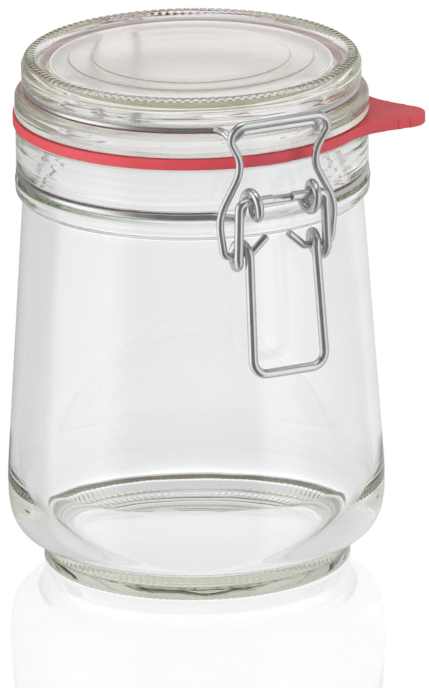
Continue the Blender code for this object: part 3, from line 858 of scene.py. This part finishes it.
# %% [markdown]
# ## Camera
# The eye stands 3.9 m away, 17.5 degrees above the table and 26.2 degrees round from the
# clamp, with a long lens, so the jar's sides stay nearly parallel. The picture is 429 by
# 688, and the jar's axis stands a little left of its middle. The camera leans by 0.7
# degrees, as a hand-levelled one does.

# %% Camera
AZIMUTH, ELEVATION, LEAN = math.radians(-26.2), math.radians(17.5), math.radians(-0.7)
DISTANCE, PIXELS_PER_MM, FRAME_HIGH, SENSOR = 3.9, 3.27, 688, 36
AIM_HEIGHT, AIM_RIGHT, AIM_DOWN = 80 * MM, 6.18 * MM, 12.23 * MM


def look(azimuth, elevation):
    """Unit vectors right, up and back of an eye that looks at the jar from these angles."""
    back_ray = np.array([
        math.sin(azimuth) * math.cos(elevation), -math.cos(azimuth) * math.cos(elevation),
        math.sin(elevation),
    ])
    right = unit(np.cross([0, 0, 1], back_ray))
    return right, np.cross(back_ray, right), back_ray


def placed(side, over, ray, place):
    """The matrix of an object at this place, with these directions for its X, Y and Z."""
    turn = np.stack([side, over, ray], -1).tolist()
    return Matrix([(*row, part) for row, part in zip(turn, place)] + [(0, 0, 0, 1)])


right, up, toward_eye = look(AZIMUTH, ELEVATION)
right, up = (
    right * math.cos(LEAN) + up * math.sin(LEAN), up * math.cos(LEAN) - right * math.sin(LEAN)
)
aim = AXIS + [0, 0, AIM_HEIGHT] + right * AIM_RIGHT - up * AIM_DOWN
camera = bpy.data.objects.new("camera", bpy.data.cameras.new("camera"))
camera.matrix_world = placed(right, up, toward_eye, aim + toward_eye * DISTANCE)
camera.data.sensor_width = SENSOR
camera.data.lens = PIXELS_PER_MM * DISTANCE / MM * SENSOR / FRAME_HIGH
camera.data.clip_end = 50
bpy.context.collection.objects.link(camera)
bpy.context.scene.camera = camera
print("lens", round(camera.data.lens), "mm")

# %% [markdown]
# ## The room
# Glass has no colour of its own: it shows the room. The room is a strip of light round the
# horizon that fades upwards, and a soft light overhead. The strip is bright behind the jar
# and dim behind the eye, which draws the dark line along each wire. A wide window on the left
# and a narrow one on the right draw the bright lines. Thick glass bends a ray so far that it
# would show every dark part of the room, so what is seen through glass comes mostly from an
# even room.

# %% Room light
AROUND = [
    (-1.0, 1.0), (-0.94, 0.35), (-0.60, 0.25), (-0.55, 1.5), (-0.33, 1.5), (-0.23, 0.22),
    (0.21, 0.20), (0.26, 1.4), (0.34, 1.4), (0.42, 0.7), (0.94, 0.65), (1.0, 1.0),
]
UPWARDS = [(-1.0, 0.8), (-0.7, 0.85), (0.0, 1.0), (0.45, 1.0), (0.62, 0.3), (1.0, 0.3)]
OVERHEAD = [(-1.0, 0.0), (0.86, 0.0), (0.94, 1.5), (1.0, 1.5)]
CLEAR, EVEN_ROOM, BRIGHTEST = 0.9, 1.0, 2.0


def graded(tree, value, steps):
    """A brightness read off a ramp of (value from -1 to 1, brightness up to BRIGHTEST) steps."""
    part = add(tree, "ShaderNodeMath", {0: value, 1: 0.5, 2: 0.5}, operation="MULTIPLY_ADD")
    ramp = add(tree, "ShaderNodeValToRGB", {0: part.outputs[0]})
    marks = ramp.color_ramp.elements
    while len(marks) < len(steps):
        marks.new(0.5)
    for mark, (place, level) in zip(marks, steps):
        grey = level / BRIGHTEST
        mark.position, mark.color = place / 2 + 0.5, (grey, grey, grey, 1)
    return add(tree, "ShaderNodeMath", {
        0: ramp.outputs[0], 1: BRIGHTEST,
    }, operation="MULTIPLY").outputs[0]


def make_room():
    """World light: a strip round the horizon times its fall with height, and a light overhead.

    AROUND is read at a / pi, where a is the angle from the way to the eye, to the right.
    UPWARDS and OVERHEAD are read at h, the upward part of the ray's direction. What is seen
    through glass gets the share CLEAR of an even room."""
    world = bpy.data.worlds.new("studio")
    world.use_nodes = True
    tree = world.node_tree
    ray = add(tree, "ShaderNodeTexCoord").outputs["Generated"]
    flat = unit(toward_eye * [1, 1, 0])
    ahead = add(tree, "ShaderNodeVectorMath", {0: ray, 1: flat.tolist()}, operation="DOT_PRODUCT")
    aside = add(tree, "ShaderNodeVectorMath", {
        0: ray, 1: np.cross([0, 0, 1], flat).tolist(),
    }, operation="DOT_PRODUCT")
    turn = add(tree, "ShaderNodeMath", {
        0: aside.outputs["Value"], 1: ahead.outputs["Value"],
    }, operation="ARCTAN2")
    half_turns = add(tree, "ShaderNodeMath", {0: turn.outputs[0], 1: math.pi}, operation="DIVIDE")
    height = add(tree, "ShaderNodeSeparateXYZ", {0: ray}).outputs["Z"]
    light = add(tree, "ShaderNodeMath", {
        0: graded(tree, half_turns.outputs[0], AROUND), 1: graded(tree, height, UPWARDS),
        2: graded(tree, height, OVERHEAD),
    }, operation="MULTIPLY_ADD")
    through = add(tree, "ShaderNodeMath", {
        0: add(tree, "ShaderNodeLightPath").outputs["Is Transmission Ray"], 1: CLEAR,
    }, operation="MULTIPLY")
    seen = add(tree, "ShaderNodeMix", {
        "Factor": through.outputs[0], "A": light.outputs[0], "B": EVEN_ROOM,
    }, data_type="FLOAT")
    tree.nodes["Background"].inputs["Color"].default_value = (1, 1, 1, 1)
    tree.links.new(seen.outputs[0], tree.nodes["Background"].inputs["Strength"])
    bpy.context.scene.world = world


make_room()
print("room: a strip of", len(AROUND), "steps round the horizon")

# %% [markdown]
# ## The table
# The jar stands on an opal gloss sheet that glows by its own light, as a product table lit from
# below does, so that clear glass shows white through its base as well as its wall. The sheet
# glows more under the jar, which is a painted pool of light under the base. Its gloss mirrors
# the jar faintly, and it stays out of other reflections, so that it doesn't wash out the dark
# lines in the glass and the wires.

# %% Lit sheet
SHEET_REACH, SHEET_Z = 9.0, -1e-4
GLOW_FROM, GLOW_TO, PAINTED_POOL_UNDER, GLOW_ROUND = 38 * MM, 47 * MM, 0.97, 0.74

floor_mesh = bpy.data.meshes.new("floor")
floor_mesh.from_pydata([
    (x * SHEET_REACH, y * SHEET_REACH, SHEET_Z) for x, y in ((-1, -1), (1, -1), (1, 1), (-1, 1))
], [], [(0, 1, 2, 3)])
floor = bpy.data.objects.new("floor", floor_mesh)
bpy.context.collection.objects.link(floor)
white, tree, shader = principled("white_gloss_sheet", {
    "Base Color": (0.06, 0.06, 0.06, 1), "Roughness": 0.03, "IOR": 2.0,
    "Emission Color": (0.985, 0.985, 1.0, 1),
})
off_axis = add(tree, "ShaderNodeVectorMath", {
    0: add(tree, "ShaderNodeTexCoord").outputs["Object"], 1: (AXIS[0], AXIS[1], SHEET_Z),
}, operation="DISTANCE")
# The emission is a painted pool of light: stronger under the jar than round it.
glow_with_painted_pool = add(tree, "ShaderNodeMapRange", {
    "Value": off_axis.outputs["Value"], "From Min": GLOW_FROM, "From Max": GLOW_TO,
    "To Min": PAINTED_POOL_UNDER, "To Max": GLOW_ROUND,
}, interpolation_type="SMOOTHSTEP")
tree.links.new(glow_with_painted_pool.outputs[0], shader.inputs["Emission Strength"])
floor.data.materials.append(white)
floor.visible_glossy = False
print("sheet glows", PAINTED_POOL_UNDER, "under the jar and", GLOW_ROUND, "round it")

# %% [markdown]
# ## Lamps and light paths
# Three soft lamps light the rubber. The glass and the steel get their light from the room, so
# the lamps are left out of what they mirror. Light runs round inside thick glass by total
# reflection, which counts as gloss, and a path that is cut short comes out black. So the
# limits on bounces are high.

# %% Lamps and bounces
LAMPS = [
    # name, degrees round and up, metres away, metres wide and high, watts
    ("left_window", -66, 18, 1.6, 0.7, 1.2, 17),
    ("right_window", 50, 25, 1.8, 0.5, 1.2, 10),
    ("ceiling", 0, 80, 1.8, 1.4, 1.4, 5),
]
LAMP_AIM, BOUNCES = 0.1, 64


def softbox(name, azimuth, elevation, distance, width, height, power):
    """A rectangular lamp that looks at the jar from these angles, in degrees."""
    lamp = bpy.data.lights.new(name, "AREA")
    lamp.shape, lamp.size, lamp.size_y, lamp.energy = "RECTANGLE", width, height, power
    made = bpy.data.objects.new(name, lamp)
    side, over, ray = look(math.radians(azimuth), math.radians(elevation))
    made.matrix_world = placed(side, over, ray, AXIS + [0, 0, LAMP_AIM] + ray * distance)
    made.visible_glossy = made.visible_transmission = False
    bpy.context.collection.objects.link(made)


for lamp_row in LAMPS:
    softbox(*lamp_row)

scene = bpy.context.scene
scene.view_settings.view_transform = "Standard"
scene.cycles.max_bounces = BOUNCES
scene.cycles.transmission_bounces = BOUNCES
scene.cycles.glossy_bounces = BOUNCES
scene.cycles.transparent_max_bounces = 16
print(len(LAMPS), "lamps, up to", BOUNCES, "bounces")
